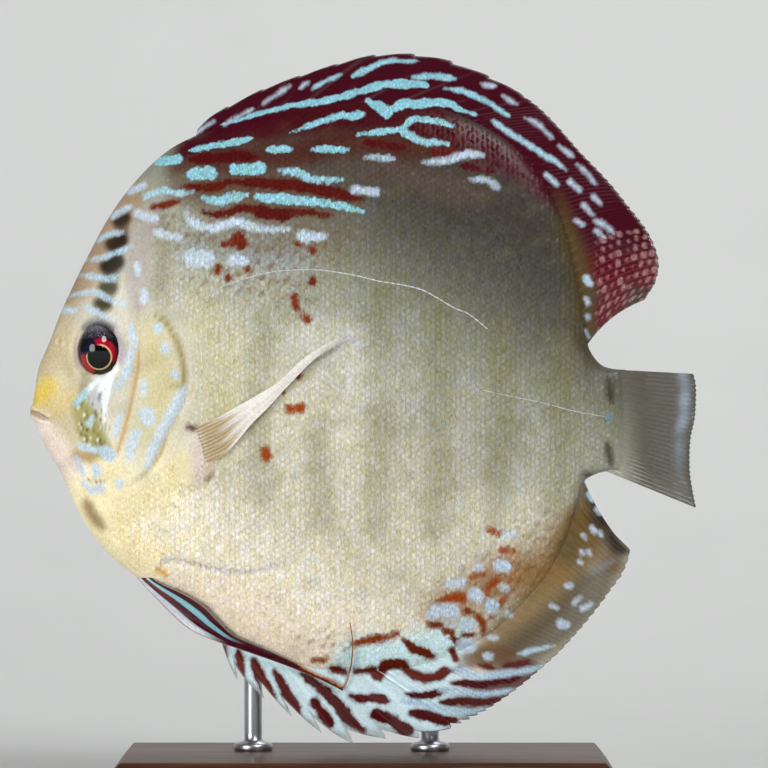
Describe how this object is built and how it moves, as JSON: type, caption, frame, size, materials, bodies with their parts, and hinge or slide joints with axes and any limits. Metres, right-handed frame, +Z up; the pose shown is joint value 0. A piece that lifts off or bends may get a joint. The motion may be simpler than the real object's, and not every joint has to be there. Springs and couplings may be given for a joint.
{
  "type": "discus fish display model",
  "caption": "Life-size still model of a striped discus fish with spread dorsal, anal and tail fins, held upright by a plain base and short rods.",
  "frame": {"origin": "middle of the underside of the stand's base, under the middle of the fish's length and thickness", "axes": "+X from the snout to the tail, +Y towards the fish's right flank, +Z up; the left flank faces -Y"},
  "size_m": [0.15, 0.072, 0.1676],
  "materials": {
    "flank_skin": "wet gloss, fine scales",
    "head_skin": "wet gloss",
    "eye": "clear gloss",
    "striped_fin": "wet gloss, striped",
    "brown_fin": "wet gloss",
    "clear_fin": "translucent gloss",
    "pale_fin": "translucent gloss",
    "stand_wood": "dark satin varnish",
    "stand_steel": "brushed"
  },
  "bodies": {
    "root": {"head": "head_skin", "torso": "flank_skin", "tail_stalk": "flank_skin", "gill_cover_left": "head_skin", "gill_cover_right": "head_skin", "eye_left": "eye", "eye_right": "eye", "dorsal_fin_spiny": "striped_fin", "dorsal_fin_soft": "striped_fin", "anal_fin_spiny": "striped_fin", "anal_fin_soft": "brown_fin", "tail_fin": "clear_fin", "pectoral_fin_left": "pale_fin", "pectoral_fin_right": "pale_fin", "pelvic_fin_left": "striped_fin", "pelvic_fin_right": "striped_fin", "stand_base": "stand_wood", "stand_rod_front": "stand_steel", "stand_rod_rear": "stand_steel"}
  },
  "joints": []
}
